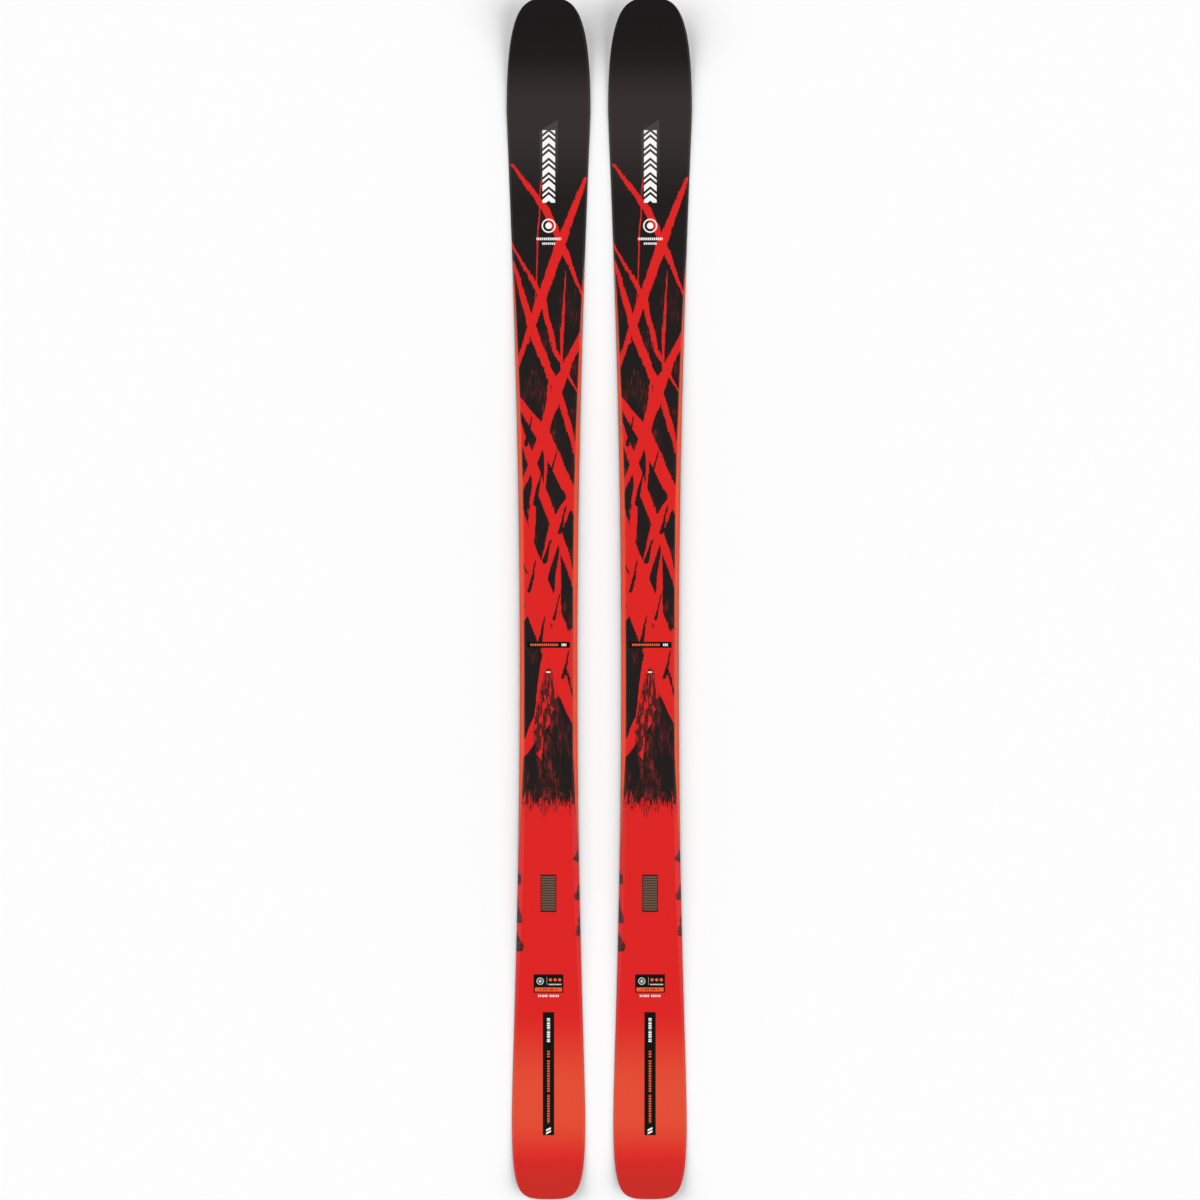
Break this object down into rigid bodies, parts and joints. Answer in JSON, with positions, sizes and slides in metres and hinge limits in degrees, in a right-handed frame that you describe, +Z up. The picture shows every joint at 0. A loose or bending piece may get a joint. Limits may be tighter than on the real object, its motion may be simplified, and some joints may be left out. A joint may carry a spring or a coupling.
{
  "type": "pair of alpine skis",
  "caption": "Pair of flat all-mountain skis with red and black brushed topsheets, orange bevelled sidewalls underfoot and capped, upturned tips and tails; no bindings.",
  "frame": {"origin": "on the snow, midway between the two skis and midway between tip and tail", "axes": "+Y along the skis towards the tips, +X across them towards the right ski, +Z up"},
  "size_m": [0.2822, 1.82, 0.0563],
  "materials": {
    "topsheet": "satin gloss print in red and black",
    "sidewall": "planed",
    "edge_steel": "ground",
    "running_base": "stone-ground",
    "damping_rubber": "matt",
    "glass_laminate": "resin-rich",
    "light_wood": "planed",
    "dense_wood": "planed",
    "spacer_plastic": "matt",
    "metal_sheet": "rolled"
  },
  "bodies": {
    "left_ski": {"left_topsheet": "topsheet", "left_outer_sidewall": "sidewall", "left_inner_sidewall": "sidewall", "left_outer_edge": "edge_steel", "left_inner_edge": "edge_steel", "left_base": "running_base", "left_outer_damping_strip": "damping_rubber", "left_inner_damping_strip": "damping_rubber", "left_lower_laminate": "glass_laminate", "left_upper_laminate": "glass_laminate", "left_light_core_strips": "light_wood", "left_dense_core_strips": "dense_wood", "left_tip_spacer": "spacer_plastic", "left_tail_spacer": "spacer_plastic", "left_reinforcement_plate": "metal_sheet"},
    "right_ski": {"right_topsheet": "topsheet", "right_outer_sidewall": "sidewall", "right_inner_sidewall": "sidewall", "right_outer_edge": "edge_steel", "right_inner_edge": "edge_steel", "right_base": "running_base", "right_outer_damping_strip": "damping_rubber", "right_inner_damping_strip": "damping_rubber", "right_lower_laminate": "glass_laminate", "right_upper_laminate": "glass_laminate", "right_light_core_strips": "light_wood", "right_dense_core_strips": "dense_wood", "right_tip_spacer": "spacer_plastic", "right_tail_spacer": "spacer_plastic", "right_reinforcement_plate": "metal_sheet"}
  },
  "joints": [
    {"name": "right_ski_glide", "type": "slide", "parent": "left_ski", "child": "right_ski", "axis": [0, 1, 0], "range_m": [-0.5, 0.5]}
  ]
}
